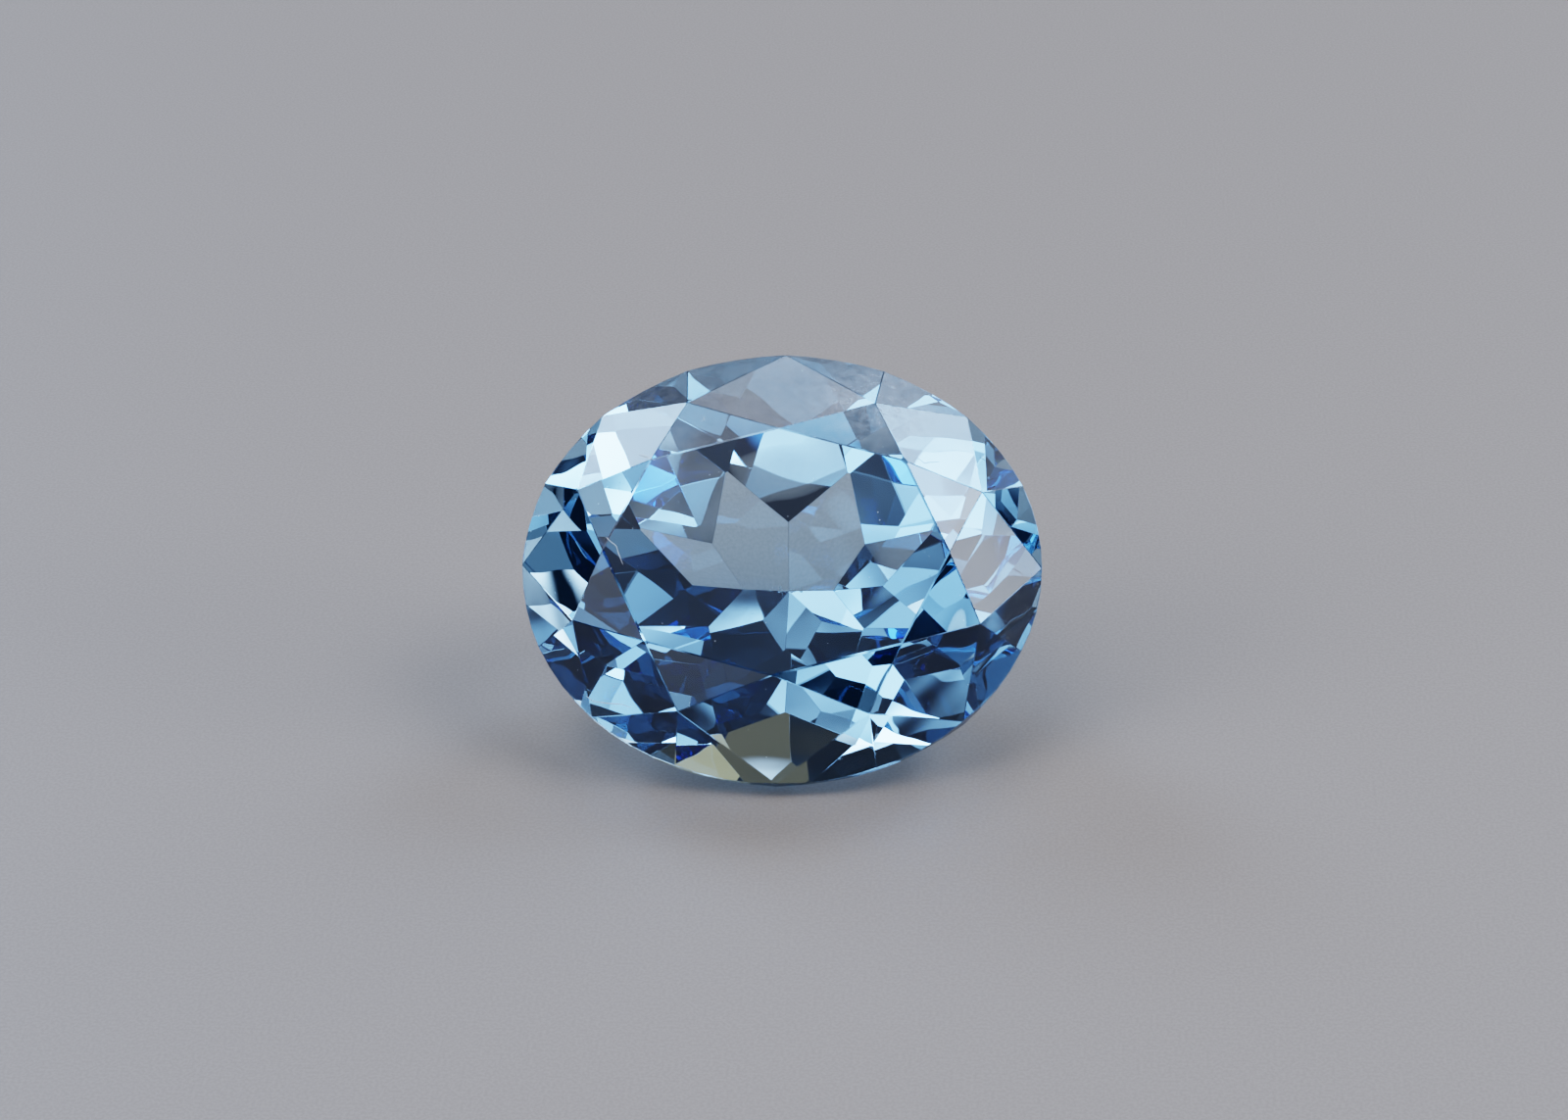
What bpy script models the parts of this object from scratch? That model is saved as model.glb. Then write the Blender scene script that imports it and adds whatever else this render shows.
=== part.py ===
"""Sky-blue topaz cut as a faceted oval, 14 mm long and 11.8 mm wide, lying on one pavilion facet.

The stone is one piece of crystal. It is cut facet by facet, the way a gem is ground: each facet is one flat
plane, given by where it points round the outline, how steeply it is inclined and which point it passes.
Metres, +Z up, +X along the long axis of the outline.
"""

import bmesh
import bpy
import numpy as np
from mathutils import Matrix, Vector

MM = 0.001

# Outline, seen square on to the table
LENGTH = 14.0 * MM
WIDTH = 11.8 * MM
OUTLINE_SIDES = 64

# Heights, measured along the table's normal
GIRDLE_THICKNESS = 0.30 * MM
CROWN_HEIGHT = 1.85 * MM
PAVILION_DEPTH = 6.10 * MM

# Crown: eight-sided table, eight stars, eight mains, sixteen girdle facets
TABLE_LENGTH = 9.18 * MM
TABLE_WIDTH = 6.70 * MM
TABLE_CORNER_REACH = 1.042
STAR_SHARE_OF_CROWN = 0.34

# Pavilion: eight culet mains, eight kites, eight shoulders, sixteen girdle facets. Angles are in degrees
# from the girdle plane.
SIDE_MAIN_ANGLE = 37.5
END_MAIN_ANGLE = 39.5
RIDGE_HALF_LENGTH = 1.25 * MM
SIDE_KITE_ANGLE = 47.0
CORNER_KITE_ANGLE = 47.0
END_KITE_ANGLE = 47.5
SIDE_KITE_DEPTH_SHARE = 0.785
CORNER_KITE_DEPTH_SHARE = 0.772
END_KITE_DEPTH_SHARE = 0.781
SHOULDER_ANGLE = 52.5
SHOULDER_DROP = 0.10 * MM
PAVILION_GIRDLE_ANGLE = 62.0

# The cutting block is this much larger than the stone, and points closer than the weld distance are one.
BLOCK_MARGIN = 2.0 * MM
PLANE_TOLERANCE = 1e-8
WELD_DISTANCE = 2e-6

TOPAZ_COLOUR = (0.36, 0.62, 0.86, 1.0)
TOPAZ_ROUGHNESS = 0.02
TOPAZ_REFRACTIVE_INDEX = 1.62

TURN = 2.0 * np.pi
EIGHTH = TURN / 8
SIXTEENTH = TURN / 16

GIRDLE_TOP = GIRDLE_THICKNESS / 2
GIRDLE_BOTTOM = -GIRDLE_THICKNESS / 2
TABLE_LEVEL = GIRDLE_TOP + CROWN_HEIGHT
CULET_LEVEL = GIRDLE_BOTTOM - PAVILION_DEPTH


class Plane:
    """A facet's plane, its normal pointing out of the stone."""

    def __init__(self, normal: np.ndarray, point: np.ndarray) -> None:
        self.normal = np.asarray(normal, float) / np.linalg.norm(normal)
        self.distance = float(self.normal @ np.asarray(point, float))


def outline_point(angle: float, level: float) -> np.ndarray:
    """The point of the oval outline at a parameter angle and a level."""
    return np.array([LENGTH / 2 * np.cos(angle), WIDTH / 2 * np.sin(angle), level])


def outline_normal(angle: float) -> np.ndarray:
    """The outward direction of the outline at a parameter angle, in plan."""
    plan = np.array([np.cos(angle) / LENGTH, np.sin(angle) / WIDTH])
    return plan / np.linalg.norm(plan)


def through(a: np.ndarray, b: np.ndarray, c: np.ndarray) -> Plane:
    """The plane through three points, facing away from the middle of the stone."""
    normal = np.cross(b - a, c - a)
    if normal @ a < 0:
        normal = -normal
    return Plane(normal, a)


def crown_main(angle: float, corner: np.ndarray) -> Plane:
    """The crown facet from the girdle's top edge at an angle up to a corner of the table."""
    foot = outline_point(angle, GIRDLE_TOP)
    along = np.array([-LENGTH * np.sin(angle), WIDTH * np.cos(angle), 0.0])
    return through(foot, foot + along, corner)


def pavilion_facet(angle: float, inclination: float, point: np.ndarray) -> Plane:
    """A pavilion facet facing the outline's direction at an angle, inclined in degrees, through a point."""
    plan = outline_normal(angle)
    tilt = np.radians(inclination)
    normal = np.array([plan[0] * np.sin(tilt), plan[1] * np.sin(tilt), -np.cos(tilt)])
    return Plane(normal, point)


def meet(*planes: Plane) -> np.ndarray:
    """The point that three planes share."""
    return np.linalg.solve(np.array([p.normal for p in planes]), np.array([p.distance for p in planes]))


def level_plane(level: float) -> Plane:
    """The plane parallel to the table at a level."""
    return Plane(np.array([0.0, 0.0, 1.0]), np.array([0.0, 0.0, level]))


def crown_facets() -> list[Plane]:
    """The table, stars, mains and girdle facets of the crown."""
    angles = [i * EIGHTH for i in range(8)]
    corners = []
    for i, angle in enumerate(angles):
        reach = TABLE_CORNER_REACH if i % 2 else 1.0
        x = TABLE_LENGTH / 2 * np.cos(angle) * reach
        y = TABLE_WIDTH / 2 * np.sin(angle) * reach
        corners.append(np.array([x, y, TABLE_LEVEL]))
    mains = [crown_main(angle, corner) for angle, corner in zip(angles, corners)]
    facets = [level_plane(TABLE_LEVEL)] + mains
    star_level = level_plane(TABLE_LEVEL - STAR_SHARE_OF_CROWN * CROWN_HEIGHT)
    for i, angle in enumerate(angles):
        j = (i + 1) % 8
        tip = meet(mains[i], mains[j], star_level)
        here = outline_point(angle, GIRDLE_TOP)
        middle = outline_point(angle + SIXTEENTH, GIRDLE_TOP)
        there = outline_point(angle + EIGHTH, GIRDLE_TOP)
        facets.append(through(corners[i], corners[j], tip))
        facets.append(through(tip, here, middle))
        facets.append(through(tip, middle, there))
    return facets


def culet_mains() -> list[Plane]:
    """The eight facets that meet along the short ridge at the culet, starting beside the +X end."""
    culet = np.array([0.0, 0.0, CULET_LEVEL])
    side = pavilion_facet(1.5 * EIGHTH, SIDE_MAIN_ANGLE, culet)
    ridge_level = (side.distance - side.normal[0] * RIDGE_HALF_LENGTH) / side.normal[2]
    mains = []
    for i in range(8):
        angle = (i + 0.5) * EIGHTH
        if i in (1, 2, 5, 6):
            mains.append(pavilion_facet(angle, SIDE_MAIN_ANGLE, culet))
        else:
            end = RIDGE_HALF_LENGTH if i in (0, 7) else -RIDGE_HALF_LENGTH
            mains.append(pavilion_facet(angle, END_MAIN_ANGLE, np.array([end, 0.0, ridge_level])))
    return mains


def pavilion_kites(mains: list[Plane]) -> list[Plane]:
    """The eight steeper facets that start between the culet mains, the first at the +X end."""
    angles = [END_KITE_ANGLE, CORNER_KITE_ANGLE, SIDE_KITE_ANGLE, CORNER_KITE_ANGLE] * 2
    shares = [END_KITE_DEPTH_SHARE, CORNER_KITE_DEPTH_SHARE, SIDE_KITE_DEPTH_SHARE, CORNER_KITE_DEPTH_SHARE] * 2
    kites = []
    for i in range(8):
        tip = meet(mains[i - 1], mains[i], level_plane(GIRDLE_BOTTOM - shares[i] * PAVILION_DEPTH))
        kites.append(pavilion_facet(i * EIGHTH, angles[i], tip))
    return kites


def pavilion_shoulders(mains: list[Plane], kites: list[Plane]) -> list[Plane]:
    """The eight facets over the narrow tops of the culet mains."""
    shoulders = []
    for i in range(8):
        j = (i + 1) % 8
        neck = meet(mains[i], kites[i], kites[j])
        low_neck = meet(kites[i], kites[j], level_plane(neck[2] - SHOULDER_DROP))
        shoulders.append(pavilion_facet((i + 0.5) * EIGHTH, SHOULDER_ANGLE, low_neck))
    return shoulders


def pavilion_girdle_facets() -> list[Plane]:
    """The sixteen steep facets just under the girdle."""
    facets = []
    for i in range(16):
        angle = (i + 0.5) * SIXTEENTH
        facets.append(pavilion_facet(angle, PAVILION_GIRDLE_ANGLE, outline_point(angle, GIRDLE_BOTTOM)))
    return facets


def oval_block() -> bmesh.types.BMesh:
    """The uncut oval block, whose sides stay as the girdle."""
    block = bmesh.new()
    low = CULET_LEVEL - BLOCK_MARGIN
    high = TABLE_LEVEL + BLOCK_MARGIN
    rings = []
    for level in (low, high):
        steps = range(OUTLINE_SIDES)
        rings.append([block.verts.new(outline_point(k * TURN / OUTLINE_SIDES, level)) for k in steps])
    block.faces.new(reversed(rings[0]))
    block.faces.new(rings[1])
    for k in range(OUTLINE_SIDES):
        n = (k + 1) % OUTLINE_SIDES
        block.faces.new((rings[0][k], rings[0][n], rings[1][n], rings[1][k]))
    return block


def grind(block: bmesh.types.BMesh, facet: Plane) -> None:
    """Takes off everything outside a facet's plane and closes the flat left there."""
    geometry = list(block.verts) + list(block.edges) + list(block.faces)
    cut = bmesh.ops.bisect_plane(
        block,
        geom=geometry,
        dist=PLANE_TOLERANCE,
        plane_co=Vector(facet.normal * facet.distance),
        plane_no=Vector(facet.normal),
        clear_outer=True,
    )
    rim = [item for item in cut["geom_cut"] if isinstance(item, bmesh.types.BMEdge) and item.is_boundary]
    if rim:
        bmesh.ops.contextual_create(block, geom=rim)


def lay_down(block: bmesh.types.BMesh) -> None:
    """Turns the stone onto its near side kite, with the middle of its box on the origin and its flat at zero."""
    turn = Matrix.Rotation(np.radians(SIDE_KITE_ANGLE), 4, "X")
    bmesh.ops.transform(block, matrix=turn, verts=block.verts)
    points = np.array([v.co for v in block.verts])
    low, high = points.min(axis=0), points.max(axis=0)
    shift = Vector((-(low[0] + high[0]) / 2, -(low[1] + high[1]) / 2, -low[2]))
    bmesh.ops.translate(block, vec=shift, verts=block.verts)


def topaz_material() -> bpy.types.Material:
    """Clear blue crystal with a polished surface."""
    material = bpy.data.materials.new("sky_blue_topaz")
    material.use_nodes = True
    shader = material.node_tree.nodes["Principled BSDF"]
    shader.inputs["Base Color"].default_value = TOPAZ_COLOUR
    shader.inputs["Roughness"].default_value = TOPAZ_ROUGHNESS
    shader.inputs["Metallic"].default_value = 0.0
    shader.inputs["IOR"].default_value = TOPAZ_REFRACTIVE_INDEX
    return material


def cut_stone() -> bpy.types.Object:
    """The finished stone as one closed solid."""
    mains = culet_mains()
    kites = pavilion_kites(mains)
    facets = crown_facets() + mains + kites + pavilion_shoulders(mains, kites) + pavilion_girdle_facets()
    block = oval_block()
    for facet in facets:
        grind(block, facet)
    bmesh.ops.remove_doubles(block, verts=block.verts, dist=WELD_DISTANCE)
    lay_down(block)
    bmesh.ops.recalc_face_normals(block, faces=block.faces)
    mesh = bpy.data.meshes.new("topaz")
    block.to_mesh(mesh)
    block.free()
    mesh.materials.append(topaz_material())
    stone = bpy.data.objects.new("topaz", mesh)
    bpy.context.collection.objects.link(stone)
    return stone


for old in list(bpy.data.objects):
    bpy.data.objects.remove(old)
cut_stone()
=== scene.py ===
"""Dresses the cut topaz: worn facet edges, polish marks, a film of dust, specks and lint.

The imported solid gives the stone's facets and its place. It rests on a pale surface in soft studio light.
Everything is in metres, +Z up, with the stone's long axis along X and its table leaning over towards -Y.
"""

import logging
import math
import random
from dataclasses import dataclass, field
from enum import Enum

import bmesh
import bpy
from mathutils import Matrix, Vector
from mathutils.bvhtree import BVHTree


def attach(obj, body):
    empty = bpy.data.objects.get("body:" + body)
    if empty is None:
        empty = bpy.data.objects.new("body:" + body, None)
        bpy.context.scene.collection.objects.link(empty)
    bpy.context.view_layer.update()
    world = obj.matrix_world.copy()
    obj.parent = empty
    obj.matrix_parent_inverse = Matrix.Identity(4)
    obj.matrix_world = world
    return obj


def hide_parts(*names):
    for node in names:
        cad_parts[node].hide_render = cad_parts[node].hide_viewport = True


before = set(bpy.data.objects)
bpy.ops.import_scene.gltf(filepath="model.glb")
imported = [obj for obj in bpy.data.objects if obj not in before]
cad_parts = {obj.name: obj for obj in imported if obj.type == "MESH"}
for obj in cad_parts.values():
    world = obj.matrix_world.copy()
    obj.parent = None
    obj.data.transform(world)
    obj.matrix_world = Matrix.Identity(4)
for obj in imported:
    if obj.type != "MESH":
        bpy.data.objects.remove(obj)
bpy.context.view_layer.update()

MM = 0.001
LOG = logging.getLogger("topaz")

Colour = tuple[float, float, float, float]
Pixel = tuple[float, float]
Span = tuple[float, float]


class FaceFinish(Enum):
    """What a face of the stone was left with, in the order of its material slots."""

    POLISHED = 0
    WORN_EDGE = 1
    GROUND_GIRDLE = 2


class EdgeKind(Enum):
    """Where a facet edge lies, with the share of the full wear that it has taken."""

    TABLE = 0.75
    CROWN = 0.4
    GIRDLE = 0.3
    PAVILION = 0.14
    KEEL = 1.0


def direction(azimuth: float, elevation: float) -> Vector:
    """The direction out from the stone, in degrees: azimuth 0 is towards -Y, 90 towards +X."""
    a, e = math.radians(azimuth), math.radians(elevation)
    return Vector((math.sin(a) * math.cos(e), -math.cos(a) * math.cos(e), math.sin(e)))


def new_material(name: str) -> tuple[bpy.types.Material, bpy.types.Node]:
    """Makes a node material.

    Args:
        name: the material's name.

    Returns:
        The material and its Principled shader.
    """
    material = bpy.data.materials.new(name)
    material.use_nodes = True
    return material, material.node_tree.nodes["Principled BSDF"]


def add_piece(name: str, mesh: bpy.types.Mesh) -> bpy.types.Object:
    """Puts a mesh in the scene, riding on the stone's body.

    Args:
        name: the piece's name.
        mesh: its mesh, with its place in it.

    Returns:
        The piece.
    """
    piece = bpy.data.objects.new(name, mesh)
    bpy.context.scene.collection.objects.link(piece)
    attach(piece, "root")
    return piece


@dataclass
class NodeSheet:
    """A node tree with short ways to add to it."""

    tree: bpy.types.NodeTree

    def node(self, kind: str, **inputs: object) -> bpy.types.Node:
        """Adds a node, with values or links for its inputs.

        Args:
            kind: the node's type.
            inputs: a value or a socket for each input, with _ for a space in its name.

        Returns:
            The node.
        """
        made = self.tree.nodes.new(kind)
        for name, value in inputs.items():
            self.feed(made.inputs[name.replace("_", " ")], value)
        return made

    def feed(self, socket: bpy.types.NodeSocket, value: object) -> None:
        """Gives an input a value or a link.

        Args:
            socket: the input.
            value: its value, or the socket that it is linked to.
        """
        if isinstance(value, bpy.types.NodeSocket):
            self.tree.links.new(value, socket)
        else:
            socket.default_value = value

    def maths(self, operation: str, first: object, second: object,
              third: object = 0.0) -> bpy.types.NodeSocket:
        """Adds a sum.

        Args:
            operation: the sum's name.
            first: its first value or socket.
            second: its second value or socket.
            third: its third value or socket, where it has one.

        Returns:
            The result.
        """
        made = self.tree.nodes.new("ShaderNodeMath")
        made.operation = operation
        for socket, value in zip(made.inputs, (first, second, third)):
            self.feed(socket, value)
        return made.outputs["Value"]

    def vector_maths(self, operation: str, *values: object) -> bpy.types.Node:
        """Adds a sum of vectors.

        Args:
            operation: the sum's name.
            values: its values or sockets.

        Returns:
            The node, which gives a Vector or a Value.
        """
        made = self.tree.nodes.new("ShaderNodeVectorMath")
        made.operation = operation
        for socket, value in zip(made.inputs, values):
            self.feed(socket, value)
        return made

    def mix(self, share: bpy.types.NodeSocket, first: Colour, second: Colour) -> bpy.types.NodeSocket:
        """Mixes two colours.

        Args:
            share: how much of the second colour there is, from 0 to 1.
            first: the first colour.
            second: the second colour.

        Returns:
            The mixed colour.
        """
        made = self.tree.nodes.new("ShaderNodeMix")
        made.data_type = "RGBA"
        made.inputs["A"].default_value = first
        made.inputs["B"].default_value = second
        self.feed(made.inputs["Factor"], share)
        return made.outputs["Result"]

    def bump(self, shader: bpy.types.Node, height: bpy.types.NodeSocket, strength: float,
             distance: float) -> None:
        """Gives a surface its fine relief.

        Args:
            shader: the surface's shader.
            height: the relief, from 0 to 1.
            strength: how strongly it shows.
            distance: how high it is.
        """
        made = self.node("ShaderNodeBump", Strength=strength, Distance=distance, Height=height)
        self.feed(shader.inputs["Normal"], made.outputs["Normal"])

    def ramp(self, value: bpy.types.NodeSocket, low: float, high: float) -> bpy.types.NodeSocket:
        """Turns a value into a mask, smoothly from 0 at low to 1 at high.

        Args:
            value: the value.
            low: where the mask is 0.
            high: where the mask is 1.

        Returns:
            The mask.
        """
        made = self.node("ShaderNodeMapRange", Value=value, From_Min=low, From_Max=high)
        made.interpolation_type = "SMOOTHSTEP"
        return made.outputs["Result"]


@dataclass(frozen=True)
class PolishMarks:
    """What handling and polishing leave on a face: waves, rubs, pits, and nicks along the keel.

    Scales are in marks per metre. A pair gives the value at which a mark starts and at which it is full.
    """

    wave_scale: float = 220.0
    rub_scale: float = 900.0
    pit_scale: float = 5200.0
    chip_scale: float = 7000.0
    keel_reach: float = 0.26 * MM
    rubbed: Span = (0.55, 0.8)
    pitted: Span = (0.16, 0.06)
    nicked: Span = (0.4, 0.5)
    fewer_nicks_away: float = 0.28
    roughness_of_rubs: float = 0.35

    def new_group(self) -> bpy.types.ShaderNodeTree:
        """Makes the empty group, with its named inputs and outputs.

        Returns:
            The group.
        """
        group = bpy.data.node_groups.new("polish_marks", "ShaderNodeTree")
        inputs = {"Wave Scale": self.wave_scale, "Rub Scale": self.rub_scale, "Pit Scale": self.pit_scale,
                  "Base Roughness": 0.0, "Wear": 0.1, "Waves": 1.0, "Keel Wear": 0.0,
                  "Keel Reach": self.keel_reach}
        for name, value in inputs.items():
            socket = group.interface.new_socket(name, in_out="INPUT", socket_type="NodeSocketFloat")
            socket.default_value = value
        group.interface.new_socket("Keel Place", in_out="INPUT", socket_type="NodeSocketVector")
        for name in ("Roughness", "Height"):
            group.interface.new_socket(name, in_out="OUTPUT", socket_type="NodeSocketFloat")
        return group

    def keel_nicks(self, sheet: NodeSheet, source: bpy.types.NodeOutputs,
                   place: bpy.types.NodeSocket) -> bpy.types.NodeSocket:
        """Masks the nicks, which thin out away from the keel.

        Args:
            sheet: the group's nodes.
            source: the group's inputs.
            place: the place on the stone.

        Returns:
            The mask.
        """
        from_keel = sheet.vector_maths("SUBTRACT", place, source["Keel Place"])
        across = sheet.vector_maths("MULTIPLY", from_keel.outputs["Vector"], (0.0, 1.0, 1.0))
        away = sheet.vector_maths("LENGTH", across.outputs["Vector"])
        reached = sheet.maths("DIVIDE", away.outputs["Value"], source["Keel Reach"])
        chips = sheet.node("ShaderNodeTexNoise", Vector=place, Scale=self.chip_scale, Detail=3.0,
                           Roughness=0.6)
        fewer = sheet.maths("MULTIPLY", reached, self.fewer_nicks_away)
        return sheet.ramp(sheet.maths("SUBTRACT", chips.outputs["Fac"], fewer), *self.nicked)

    def group(self) -> bpy.types.ShaderNodeTree:
        """Builds the group.

        Returns:
            A group with named inputs, and the outputs Roughness and Height.
        """
        group = self.new_group()
        sheet = NodeSheet(group)
        source = group.nodes.new("NodeGroupInput").outputs
        result = group.nodes.new("NodeGroupOutput").inputs
        place = group.nodes.new("ShaderNodeTexCoord").outputs["Object"]
        rubs = sheet.node("ShaderNodeTexNoise", Vector=place, Scale=source["Rub Scale"], Detail=6.0,
                          Roughness=0.7)
        rubbed = sheet.maths("MULTIPLY", sheet.ramp(rubs.outputs["Fac"], *self.rubbed), source["Wear"])
        pits = sheet.node("ShaderNodeTexVoronoi", Vector=place, Scale=source["Pit Scale"])
        pitted = sheet.maths("MULTIPLY", sheet.ramp(pits.outputs["Distance"], *self.pitted), rubbed)
        waves = sheet.node("ShaderNodeTexNoise", Vector=place, Scale=source["Wave Scale"], Detail=1.0)
        height = sheet.maths("MULTIPLY_ADD", waves.outputs["Fac"], source["Waves"], pitted)
        keel_wear = sheet.maths("MULTIPLY", self.keel_nicks(sheet, source, place), source["Keel Wear"])
        rough = sheet.maths("MULTIPLY_ADD", rubbed, self.roughness_of_rubs, source["Base Roughness"])
        sheet.feed(result["Roughness"], sheet.maths("ADD", rough, keel_wear))
        sheet.feed(result["Height"], height)
        return group


@dataclass(frozen=True)
class TopazFinish:
    """Clear blue topaz, polished, rubbed or ground.

    The colour comes from what the crystal takes out of light that crosses it, so it is set per metre.
    """

    name: str
    base_roughness: float
    wear: float
    bump_distance: float
    waves: float = 0.0
    keel_wear: float = 0.0
    refractive_index: float = 1.62
    absorbed_per_metre: float = 90.0
    passed_colour: Colour = (0.18, 0.66, 0.97, 1.0)

    def material(self, marks: bpy.types.ShaderNodeTree, keel_place: Vector) -> bpy.types.Material:
        """Builds the material.

        Args:
            marks: the group that gives the marks of handling.
            keel_place: a point on the keel.

        Returns:
            The see-through material.
        """
        material, shader = new_material(self.name)
        sheet = NodeSheet(material.node_tree)
        shader.inputs["Base Color"].default_value = (1.0, 1.0, 1.0, 1.0)
        shader.inputs["Metallic"].default_value = 0.0
        shader.inputs["IOR"].default_value = self.refractive_index
        shader.inputs["Transmission Weight"].default_value = 1.0
        group = sheet.tree.nodes.new("ShaderNodeGroup")
        group.node_tree = marks
        values = {"Base Roughness": self.base_roughness, "Wear": self.wear, "Waves": self.waves,
                  "Keel Wear": self.keel_wear, "Keel Place": keel_place}
        for name, value in values.items():
            group.inputs[name].default_value = value
        sheet.feed(shader.inputs["Roughness"], group.outputs["Roughness"])
        sheet.bump(shader, group.outputs["Height"], 1.0, self.bump_distance)
        inside = sheet.node("ShaderNodeVolumeAbsorption", Color=self.passed_colour,
                            Density=self.absorbed_per_metre)
        sheet.feed(sheet.tree.nodes["Material Output"].inputs["Volume"], inside.outputs["Volume"])
        return material


@dataclass(frozen=True)
class FibreFinish:
    """Pale matt textile dust."""

    name: str = "pale_lint"
    dull: Colour = (0.62, 0.64, 0.66, 1.0)
    bright: Colour = (0.9, 0.91, 0.93, 1.0)
    roughness: float = 0.7
    strand_scale: float = 30000.0
    strand_relief: float = 0.002 * MM

    def material(self) -> bpy.types.Material:
        """Builds the material.

        Returns:
            The matt material, a little uneven in shade.
        """
        material, shader = new_material(self.name)
        sheet = NodeSheet(material.node_tree)
        place = sheet.tree.nodes.new("ShaderNodeTexCoord").outputs["Object"]
        uneven = sheet.node("ShaderNodeTexNoise", Vector=place, Scale=self.strand_scale, Detail=2.0)
        sheet.feed(shader.inputs["Base Color"], sheet.mix(uneven.outputs["Fac"], self.dull, self.bright))
        shader.inputs["Roughness"].default_value = self.roughness
        sheet.bump(shader, uneven.outputs["Fac"], 0.4, self.strand_relief)
        return material


@dataclass(frozen=True)
class FilmFinish:
    """A thin dull film of settled dust, thicker on level faces, with one blotchy smear."""

    smear_place: Vector
    name: str = "dust_film"
    colour: Colour = (0.80, 0.85, 0.93, 1.0)
    roughness: float = 0.8
    cover: float = 0.12
    smear_cover: float = 0.26
    smear_radius: float = 2.3 * MM
    least_rise: float = 0.74
    most_rise: float = 0.97
    grain_scale: float = 3500.0
    blot_scale: float = 3600.0
    blotted: Span = (0.25, 0.8)
    smear_fade: Span = (1.0, 0.3)
    relief: float = 0.004 * MM

    def material(self) -> bpy.types.Material:
        """Builds the material.

        Returns:
            The thin film, as a matt material that hides little of what is under it.
        """
        material, shader = new_material(self.name)
        sheet = NodeSheet(material.node_tree)
        shader.inputs["Base Color"].default_value = self.colour
        shader.inputs["Roughness"].default_value = self.roughness
        place = sheet.tree.nodes.new("ShaderNodeTexCoord").outputs["Object"]
        normal = sheet.tree.nodes.new("ShaderNodeNewGeometry").outputs["Normal"]
        parts = sheet.node("ShaderNodeSeparateXYZ", Vector=normal)
        level = sheet.ramp(parts.outputs["Z"], self.least_rise, self.most_rise)
        grain = sheet.node("ShaderNodeTexNoise", Vector=place, Scale=self.grain_scale, Detail=5.0,
                           Roughness=0.65)
        thick = sheet.maths("MULTIPLY", grain.outputs["Fac"], 2.0 * self.cover)
        settled = sheet.maths("MULTIPLY", level, thick)
        apart = sheet.vector_maths("DISTANCE", place, self.smear_place)
        away = sheet.maths("DIVIDE", apart.outputs["Value"], self.smear_radius)
        blots = sheet.node("ShaderNodeTexNoise", Vector=place, Scale=self.blot_scale, Detail=6.0,
                           Roughness=0.7)
        smeared = sheet.maths("MULTIPLY", sheet.ramp(away, *self.smear_fade),
                              sheet.ramp(blots.outputs["Fac"], *self.blotted))
        sheet.feed(shader.inputs["Alpha"], sheet.maths("MULTIPLY_ADD", smeared, self.smear_cover, settled))
        sheet.bump(shader, blots.outputs["Fac"], 0.5, self.relief)
        return material


@dataclass
class PhotoCamera:
    """The camera at the photograph's angle."""

    azimuth: float = 5.2
    elevation: float = 29.9
    roll: float = math.radians(2.2)
    distance: float = 100.0 * MM
    focal_length: float = 85.4
    sensor_width: float = 36.0
    picture_width: float = 1600.0
    picture_height: float = 1143.0
    aim: Vector = field(default_factory=lambda: Vector((0.0, -0.365 * MM, 4.70 * MM)))
    aim_right: float = 0.08 * MM
    aim_up: float = 0.205 * MM

    def placing(self) -> Matrix:
        """Works out where the camera stands.

        Returns:
            Its world matrix.
        """
        back = direction(self.azimuth, self.elevation)
        turn = (-back).to_track_quat("-Z", "Y").to_matrix().to_4x4() @ Matrix.Rotation(-self.roll, 4, "Z")
        centre = self.aim + turn.col[0].to_3d() * self.aim_right + turn.col[1].to_3d() * self.aim_up
        return Matrix.Translation(centre + back * self.distance) @ turn

    def sight(self, pixel: Pixel) -> tuple[Vector, Vector]:
        """Finds the line of sight of a pixel of the photograph.

        Args:
            pixel: across and down, in the photograph's frame.

        Returns:
            The camera's point and the direction.
        """
        placing = self.placing()
        across = (pixel[0] / self.picture_width - 0.5) * self.sensor_width
        down = (pixel[1] - self.picture_height / 2) / self.picture_width * self.sensor_width
        sight = Vector((across, -down, -self.focal_length)).normalized()
        return placing.translation, placing.to_3x3() @ sight

    def place(self) -> bpy.types.Object:
        """Sets the camera up.

        Returns:
            The camera.
        """
        data = bpy.data.cameras.new("camera")
        data.lens = self.focal_length
        data.sensor_width = self.sensor_width
        data.clip_start = 1.0 * MM
        camera = bpy.data.objects.new("camera", data)
        camera.matrix_world = self.placing()
        bpy.context.scene.collection.objects.link(camera)
        bpy.context.scene.camera = camera
        return camera


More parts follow.
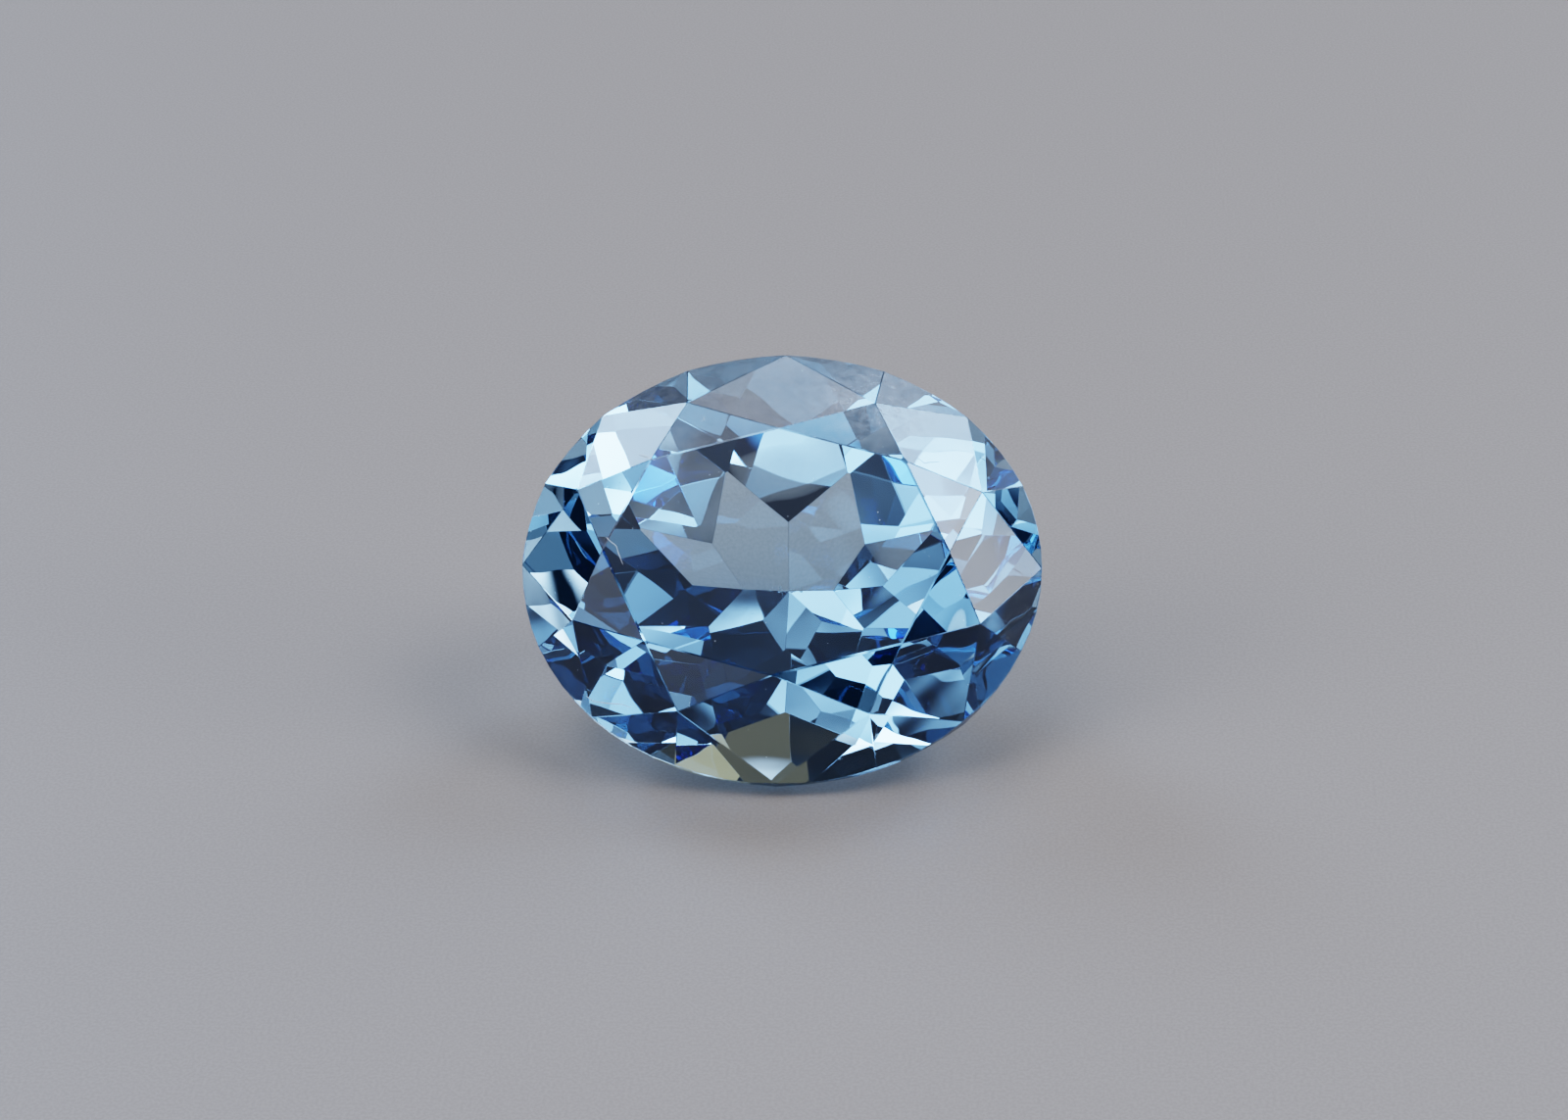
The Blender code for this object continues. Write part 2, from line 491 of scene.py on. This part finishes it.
@dataclass
class CutStone:
    """The faceted stone, with its facet edges rounded by wear, one nick and one chip.

    Places on the stone are in its own frame, in millimetres: along the table, across it, and up from the
    middle of the girdle.
    """

    node: str = "topaz"
    table_lean: float = math.radians(47.0)
    girdle_centre: Vector = field(default_factory=lambda: Vector((0.0, -0.365, 4.700)) * MM)
    weld: float = 0.0002 * MM
    flat_within: float = math.radians(0.05)
    edge_wear: float = 0.042 * MM
    wear_spread: float = 0.45
    girdle_half: float = 0.16
    table_height: float = 1.98
    keel_height: float = -6.2
    keel_depth: float = -6.262
    most_of_short_edge: float = 0.3
    girdle_tilt: float = 0.02
    table_nick: tuple[float, float, float] = (3.38, 2.47, 1.99)
    nick_size: float = 0.11 * MM
    girdle_chip: tuple[float, float, float] = (3.30, -5.20, 0.05)
    chip_size: float = 0.16 * MM
    seed: int = 14

    def own_frame(self) -> Matrix:
        """The matrix from the stone's own frame to the world."""
        return Matrix.Translation(self.girdle_centre) @ Matrix.Rotation(self.table_lean, 4, "X")

    def keel_place(self) -> Vector:
        """The middle of the keel, in the world."""
        return self.own_frame() @ Vector((0.0, 0.0, self.keel_depth * MM))

    def facets(self) -> bmesh.types.BMesh:
        """Copies the solid, with each facet as one flat face.

        Returns:
            The mesh to work on.
        """
        stone = bmesh.new()
        stone.from_mesh(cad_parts[self.node].data)
        bmesh.ops.remove_doubles(stone, verts=stone.verts, dist=self.weld)
        bmesh.ops.dissolve_limit(stone, angle_limit=self.flat_within, verts=stone.verts, edges=stone.edges)
        return stone

    def knock(self, stone: bmesh.types.BMesh, place: tuple[float, float, float], size: float) -> None:
        """Breaks off one corner.

        Args:
            stone: the mesh to work on.
            place: the corner's place on the stone.
            size: how far the break reaches.
        """
        hit = self.own_frame() @ (Vector(place) * MM)
        corner = min(stone.verts, key=lambda vert: (vert.co - hit).length)
        bmesh.ops.bevel(stone, geom=[corner], offset=size, segments=1, affect="VERTICES",
                        clamp_overlap=True, material=FaceFinish.WORN_EDGE.value)

    def edge_kind(self, low: float, high: float) -> EdgeKind:
        """Tells where an edge lies.

        Args:
            low: the height of its lower end on the stone.
            high: the height of its upper end.

        Returns:
            The kind of edge.
        """
        if low > self.table_height:
            return EdgeKind.TABLE
        if high < self.keel_height + self.girdle_half:
            return EdgeKind.KEEL
        if high < self.girdle_half and low > -self.girdle_half:
            return EdgeKind.GIRDLE
        return EdgeKind.CROWN if high > self.girdle_half else EdgeKind.PAVILION

    def weigh_edges(self, mesh: bpy.types.Mesh) -> None:
        """Says how far each facet edge is worn, as a share of the full wear.

        Args:
            mesh: the faceted mesh, which gets the weights.
        """
        chance = random.Random(self.seed)
        to_own = self.own_frame().inverted()
        heights = [(to_own @ vert.co).z / MM for vert in mesh.vertices]
        room = [1.0] * len(mesh.vertices)
        for edge in mesh.edges:
            first, second = edge.vertices
            length = (mesh.vertices[first].co - mesh.vertices[second].co).length
            room[first], room[second] = min(room[first], length), min(room[second], length)
        weights = mesh.attributes.new("bevel_weight_edge", "FLOAT", "EDGE")
        for edge, weight in zip(mesh.edges, weights.data):
            low, high = sorted(heights[vert] for vert in edge.vertices)
            wear = self.edge_kind(low, high).value * (1.0 - self.wear_spread * chance.random())
            most = self.most_of_short_edge * min(room[vert] for vert in edge.vertices) / self.edge_wear
            weight.value = min(wear, most)

    def finish_faces(self, mesh: bpy.types.Mesh) -> None:
        """Gives each facet its finish: ground if it is on the girdle, polished elsewhere.

        Args:
            mesh: the faceted mesh.
        """
        axis = self.own_frame().col[2].to_3d()
        for face in mesh.polygons:
            if face.material_index == FaceFinish.WORN_EDGE.value:
                continue
            on_girdle = abs(face.normal.dot(axis)) < self.girdle_tilt
            face.material_index = (FaceFinish.GROUND_GIRDLE if on_girdle else FaceFinish.POLISHED).value

    def build(self, finishes: dict[FaceFinish, bpy.types.Material]) -> bpy.types.Object:
        """Makes the stone.

        Args:
            finishes: the material for each finish.

        Returns:
            The dressed stone, riding on the frame in place of its solid.
        """
        stone = self.facets()
        self.knock(stone, self.table_nick, self.nick_size)
        self.knock(stone, self.girdle_chip, self.chip_size)
        mesh = bpy.data.meshes.new("topaz_stone")
        stone.to_mesh(mesh)
        stone.free()
        for finish in FaceFinish:
            mesh.materials.append(finishes[finish])
        self.finish_faces(mesh)
        self.weigh_edges(mesh)
        piece = add_piece("topaz_stone", mesh)
        bevel = piece.modifiers.new("worn_edges", "BEVEL")
        bevel.limit_method = "WEIGHT"
        bevel.width = self.edge_wear
        bevel.segments = 1
        bevel.use_clamp_overlap = False
        bevel.material = FaceFinish.WORN_EDGE.value
        graph = bpy.context.evaluated_depsgraph_get()
        worn = bpy.data.meshes.new_from_object(piece.evaluated_get(graph))
        piece.modifiers.clear()
        piece.data = worn
        for face in worn.polygons:
            face.use_smooth = False
        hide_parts(self.node)
        return piece


@dataclass(frozen=True)
class Fibre:
    """One fibre that lies on the stone, by the pixels of the photograph that it passes."""

    name: str
    path: tuple[Pixel, ...]
    radius: float


@dataclass
class StoneDust:
    """The lint and the dust that lie on the stone."""

    camera: PhotoCamera
    steps: int = 8
    sides: int = 6
    lift: float = 0.012 * MM
    fibres: tuple[Fibre, ...] = (
        Fibre("low_hair", ((598.7, 710.5), (605.0, 715.0), (613.0, 716.6), (624.5, 718.0), (635.0, 718.7),
                           (644.0, 722.0)), 0.012 * MM),
        Fibre("bent_hair", ((616.3, 551.3), (618.9, 548.7), (622.7, 552.6), (628.5, 557.0), (630.5, 563.0),
                            (632.4, 568.0), (635.6, 576.0)), 0.010 * MM),
        Fibre("top_hook", ((715.5, 430.5), (718.5, 429.0), (718.0, 425.5)), 0.010 * MM),
        Fibre("left_hair", ((652.0, 464.7), (660.0, 466.5), (668.0, 470.0)), 0.010 * MM),
    )
    speck_count: int = 170
    speck_radii: Span = (0.004 * MM, 0.013 * MM)
    speck_stretch: Span = (0.7, 1.6)
    speck_flatness: float = 0.6
    mostly_small: float = 2.5
    tip_width: float = 0.35
    least_rise: float = 0.05
    film_lift: float = 0.002 * MM
    seed: int = 5

    def on_stone(self, tree: BVHTree, pixel: Pixel) -> Vector:
        """Finds the point of the stone at a pixel.

        Args:
            tree: the stone's surface.
            pixel: the pixel of the photograph.

        Returns:
            The point, lifted just clear of the surface.
        """
        eye, sight = self.camera.sight(pixel)
        place, normal, _, _ = tree.ray_cast(eye, sight)
        return place + normal * self.lift

    def smooth_path(self, points: list[Vector]) -> list[Vector]:
        """Runs a smooth curve through the points.

        Args:
            points: the points to pass.

        Returns:
            The curve's points.
        """
        padded = [points[0] * 2 - points[1], *points, points[-1] * 2 - points[-2]]
        path = []
        for a, b, c, d in zip(padded, padded[1:], padded[2:], padded[3:]):
            for step in range(self.steps):
                t = step / self.steps
                bend = a * -1 + b * 3 - c * 3 + d
                curve = a * 2 - b * 5 + c * 4 - d
                path.append(b + (c - a) * (t / 2) + curve * (t * t / 2) + bend * (t ** 3 / 2))
        return [*path, points[-1]]

    def tube(self, lint: bmesh.types.BMesh, path: list[Vector], radius: float) -> None:
        """Adds a thin tube along a path, pointed at both ends.

        Args:
            lint: the mesh to add to.
            path: the points that it follows.
            radius: its radius at the middle.
        """
        rings = []
        for index, point in enumerate(path):
            ahead = path[min(index + 1, len(path) - 1)] - path[max(index - 1, 0)]
            turn = ahead.to_track_quat("Z", "X").to_matrix()
            share = index / (len(path) - 1)
            width = radius * (self.tip_width + (1.0 - self.tip_width) * math.sin(math.pi * share) ** 0.5)
            ring = []
            for side in range(self.sides):
                angle = math.tau * side / self.sides
                offset = turn @ Vector((math.cos(angle), math.sin(angle), 0.0))
                ring.append(lint.verts.new(point + offset * width))
            rings.append(ring)
        for first, second in zip(rings, rings[1:]):
            for side in range(self.sides):
                after = (side + 1) % self.sides
                lint.faces.new((first[side], first[after], second[after], second[side]))
        lint.faces.new(list(reversed(rings[0])))
        lint.faces.new(rings[-1])

    def lint(self, tree: BVHTree, material: bpy.types.Material) -> bpy.types.Object:
        """Lays the fibres.

        Args:
            tree: the stone's surface.
            material: their material.

        Returns:
            The piece.
        """
        lint = bmesh.new()
        for fibre in self.fibres:
            points = [self.on_stone(tree, pixel) for pixel in fibre.path]
            self.tube(lint, self.smooth_path(points), fibre.radius)
        mesh = bpy.data.meshes.new("lint_fibres")
        lint.to_mesh(mesh)
        lint.free()
        mesh.materials.append(material)
        return add_piece("lint_fibres", mesh)

    def specks(self, stone: bpy.types.Object, material: bpy.types.Material) -> bpy.types.Object:
        """Scatters dust over the faces that look up.

        Args:
            stone: the dressed stone.
            material: the dust's material.

        Returns:
            The piece.
        """
        chance = random.Random(self.seed)
        source = stone.data
        source.calc_loop_triangles()
        open_faces = [t for t in source.loop_triangles if t.normal.z > self.least_rise]
        areas = [t.area * t.normal.z ** 0.5 for t in open_faces]
        dust = bmesh.new()
        for face in chance.choices(open_faces, areas, k=self.speck_count):
            a, b, c = (source.vertices[index].co for index in face.vertices)
            u, v = sorted((chance.random(), chance.random()))
            place = a * u + b * (v - u) + c * (1.0 - v)
            low, high = self.speck_radii
            radius = low + (high - low) * chance.random() ** self.mostly_small
            along, across = (chance.uniform(*self.speck_stretch) for _ in range(2))
            stretch = Matrix.Diagonal((along, across, self.speck_flatness, 1.0))
            turn = face.normal.to_track_quat("Z", "X").to_matrix().to_4x4()
            spin = Matrix.Rotation(chance.uniform(0.0, math.tau), 4, "Z")
            bmesh.ops.create_icosphere(dust, subdivisions=1, radius=radius,
                                       matrix=Matrix.Translation(place) @ turn @ spin @ stretch)
        mesh = bpy.data.meshes.new("dust_specks")
        dust.to_mesh(mesh)
        dust.free()
        mesh.materials.append(material)
        return add_piece("dust_specks", mesh)

    def film(self, stone: bpy.types.Object, film: FilmFinish) -> bpy.types.Object:
        """Lays a thin film of dust over the facets that face up.

        Args:
            stone: the dressed stone.
            film: the film's finish.

        Returns:
            The piece.
        """
        sheet = bmesh.new()
        source = stone.data
        for face in source.polygons:
            if face.normal.z > film.least_rise and face.material_index == FaceFinish.POLISHED.value:
                lift = face.normal * self.film_lift
                raised = [source.vertices[index].co + lift for index in face.vertices]
                sheet.faces.new([sheet.verts.new(place) for place in raised])
        mesh = bpy.data.meshes.new("dust_film")
        sheet.to_mesh(mesh)
        sheet.free()
        mesh.materials.append(film.material())
        return add_piece("dust_film", mesh)

    def build(self, stone: bpy.types.Object, material: bpy.types.Material,
              film: FilmFinish) -> list[bpy.types.Object]:
        """Lays the lint and the dust.

        Args:
            stone: the dressed stone.
            material: the lint's and the specks' material.
            film: the thin film's finish.

        Returns:
            The pieces.
        """
        tree = BVHTree.FromPolygons([vert.co for vert in stone.data.vertices],
                                    [tuple(face.vertices) for face in stone.data.polygons])
        return [self.lint(tree, material), self.specks(stone, material), self.film(stone, film)]


@dataclass(frozen=True)
class SoftBox:
    """A round soft light, far off, that fades out towards its rim. Its angles are in degrees."""

    name: str
    azimuth: float
    elevation: float
    spread: float
    radiance: float
    colour: tuple[float, float, float] = (0.90, 0.975, 1.10)
    full_share: float = 0.25
    rim_share: float = 1.5

    def add(self, sheet: NodeSheet, where: bpy.types.NodeSocket) -> bpy.types.NodeSocket:
        """Adds the light to the room.

        Args:
            sheet: the room's nodes.
            where: the direction that is looked in.

        Returns:
            The light's colour in that direction.
        """
        toward = sheet.vector_maths("DOT_PRODUCT", where, direction(self.azimuth, self.elevation))
        rim = math.cos(math.radians(self.spread * self.rim_share))
        full = math.cos(math.radians(self.spread * self.full_share))
        light = sheet.vector_maths("SCALE", [self.radiance * part for part in self.colour])
        light.label = self.name
        sheet.feed(light.inputs["Scale"], sheet.ramp(toward.outputs["Value"], rim, full))
        return light.outputs["Vector"]


@dataclass
class Studio:
    """The pale surface and the soft lights round it.

    The lights were fitted to the look of the facets: a search gave most of their directions and first
    strengths, which were then rounded and adjusted. The bluer and the warm ones tint single facets.
    """

    surface_radius: float = 0.6
    surface_sides: int = 96
    surface_drop: float = 0.002 * MM
    surface_colour: Colour = (0.316, 0.267, 0.232, 1.0)
    surface_roughness: float = 0.5
    grain_scale: float = 12000.0
    grain_contrast: float = 0.03
    grain_limits: Span = (0.3, 0.7)
    grain_relief: float = 0.002 * MM
    room_light: tuple[float, float, float] = (0.006, 0.014, 0.022)
    boxes: tuple[SoftBox, ...] = (
        SoftBox("left_window", 293.0, 35.0, 15.0, 2.6),
        SoftBox("left_top_panel", 284.0, 70.0, 17.0, 2.0),
        SoftBox("right_window", 84.0, 51.0, 10.5, 6.2),
        SoftBox("right_low_panel", 79.0, 17.0, 8.5, 6.6),
        SoftBox("right_back_panel", 140.0, 40.0, 8.5, 7.4, (0.62, 0.93, 1.40)),
        SoftBox("right_back_low_panel", 129.0, 14.0, 10.0, 2.8),
        SoftBox("right_horizon_panel", 99.0, 7.0, 8.0, 2.6),
        SoftBox("right_front_horizon_panel", 50.0, 6.0, 10.0, 1.3),
        SoftBox("left_back_panel", 222.0, 31.0, 9.5, 7.4, (0.62, 0.93, 1.40)),
        SoftBox("front_top_panel", 338.0, 68.0, 13.0, 0.9),
        SoftBox("front_low_panel", 344.0, 18.0, 10.0, 1.0),
        SoftBox("back_top_panel", 180.0, 58.0, 8.5, 3.2),
        SoftBox("back_panel", 158.0, 25.0, 9.0, 0.32, (1.5, 1.12, 0.6)),
        SoftBox("back_warm_card", 180.0, 42.0, 11.0, 0.08, (1.7, 1.2, 0.65)),
    )

    def surface_material(self) -> bpy.types.Material:
        """Builds the smooth pale surface, with a fine grain.

        Returns:
            The material.
        """
        material, shader = new_material("pale_surface")
        sheet = NodeSheet(material.node_tree)
        place = sheet.tree.nodes.new("ShaderNodeTexCoord").outputs["Object"]
        grain = sheet.node("ShaderNodeTexNoise", Vector=place, Scale=self.grain_scale, Detail=1.0)
        plain = Vector(self.surface_colour[:3])
        dark = (*(plain * (1.0 - 2.0 * self.grain_contrast)), 1.0)
        pale = (*(plain * (1.0 + 2.0 * self.grain_contrast)), 1.0)
        grained = sheet.ramp(grain.outputs["Fac"], *self.grain_limits)
        sheet.feed(shader.inputs["Base Color"], sheet.mix(grained, dark, pale))
        shader.inputs["Roughness"].default_value = self.surface_roughness
        sheet.bump(shader, grain.outputs["Fac"], 0.5, self.grain_relief)
        return material

    def surface(self) -> bpy.types.Object:
        """Lays the surface that the stone rests on.

        Returns:
            The surface.
        """
        disc = bmesh.new()
        bmesh.ops.create_circle(disc, cap_ends=True, segments=self.surface_sides, radius=self.surface_radius)
        mesh = bpy.data.meshes.new("surface")
        disc.to_mesh(mesh)
        disc.free()
        mesh.materials.append(self.surface_material())
        surface = bpy.data.objects.new("surface", mesh)
        surface.location.z = -self.surface_drop
        bpy.context.scene.collection.objects.link(surface)
        return surface

    def room(self) -> None:
        """Sets up the soft lights, in a room that is nearly dark."""
        world = bpy.data.worlds.new("studio_room")
        world.use_nodes = True
        sheet = NodeSheet(world.node_tree)
        where = sheet.tree.nodes.new("ShaderNodeTexCoord").outputs["Generated"]
        total = self.room_light
        for box in self.boxes:
            total = sheet.vector_maths("ADD", total, box.add(sheet, where)).outputs["Vector"]
        sheet.feed(sheet.tree.nodes["Background"].inputs["Color"], total)
        bpy.context.scene.world = world

    def build(self) -> None:
        """Sets up the whole studio."""
        self.room()
        self.surface()


@dataclass(frozen=True)
class PictureSettings:
    """How often light may cross the stone, and how its brightness is shown."""

    crossings: int = 32
    reflections: int = 24
    brightest_bounce: float = 5.0
    view: str = "Filmic"
    contrast: str = "High Contrast"
    exposure: float = 0.3

    def apply(self) -> None:
        """Lets light reach the stone's inner reflections, and sets the tones."""
        cycles = bpy.context.scene.cycles
        cycles.max_bounces = self.crossings
        cycles.transmission_bounces = self.crossings
        cycles.glossy_bounces = self.reflections
        cycles.sample_clamp_indirect = self.brightest_bounce
        tones = bpy.context.scene.view_settings
        tones.view_transform = self.view
        tones.look = self.contrast
        tones.exposure = self.exposure


def main() -> None:
    """Builds the dressed stone and its studio."""
    logging.basicConfig(level=logging.INFO, format="%(message)s")
    marks = PolishMarks().group()
    cut_stone = CutStone()
    looks = {
        FaceFinish.POLISHED: TopazFinish("polished_topaz", base_roughness=0.0, wear=0.01,
                                         bump_distance=0.05 * MM, waves=1.0, keel_wear=0.5),
        FaceFinish.WORN_EDGE: TopazFinish("worn_topaz_edge", base_roughness=0.16, wear=0.8,
                                          bump_distance=0.012 * MM),
        FaceFinish.GROUND_GIRDLE: TopazFinish("ground_topaz_girdle", base_roughness=0.14, wear=0.5,
                                              bump_distance=0.01 * MM),
    }
    finishes = {finish: look.material(marks, cut_stone.keel_place()) for finish, look in looks.items()}
    stone = cut_stone.build(finishes)
    LOG.info("%s: %d faces", stone.name, len(stone.data.polygons))
    camera = PhotoCamera()
    film = FilmFinish(smear_place=Vector((2.6, 1.9, 8.7)) * MM)
    for piece in StoneDust(camera).build(stone, FibreFinish().material(), film):
        LOG.info("%s: %d faces", piece.name, len(piece.data.polygons))
    Studio().build()
    camera.place()
    PictureSettings().apply()


if __name__ == "__main__":
    main()
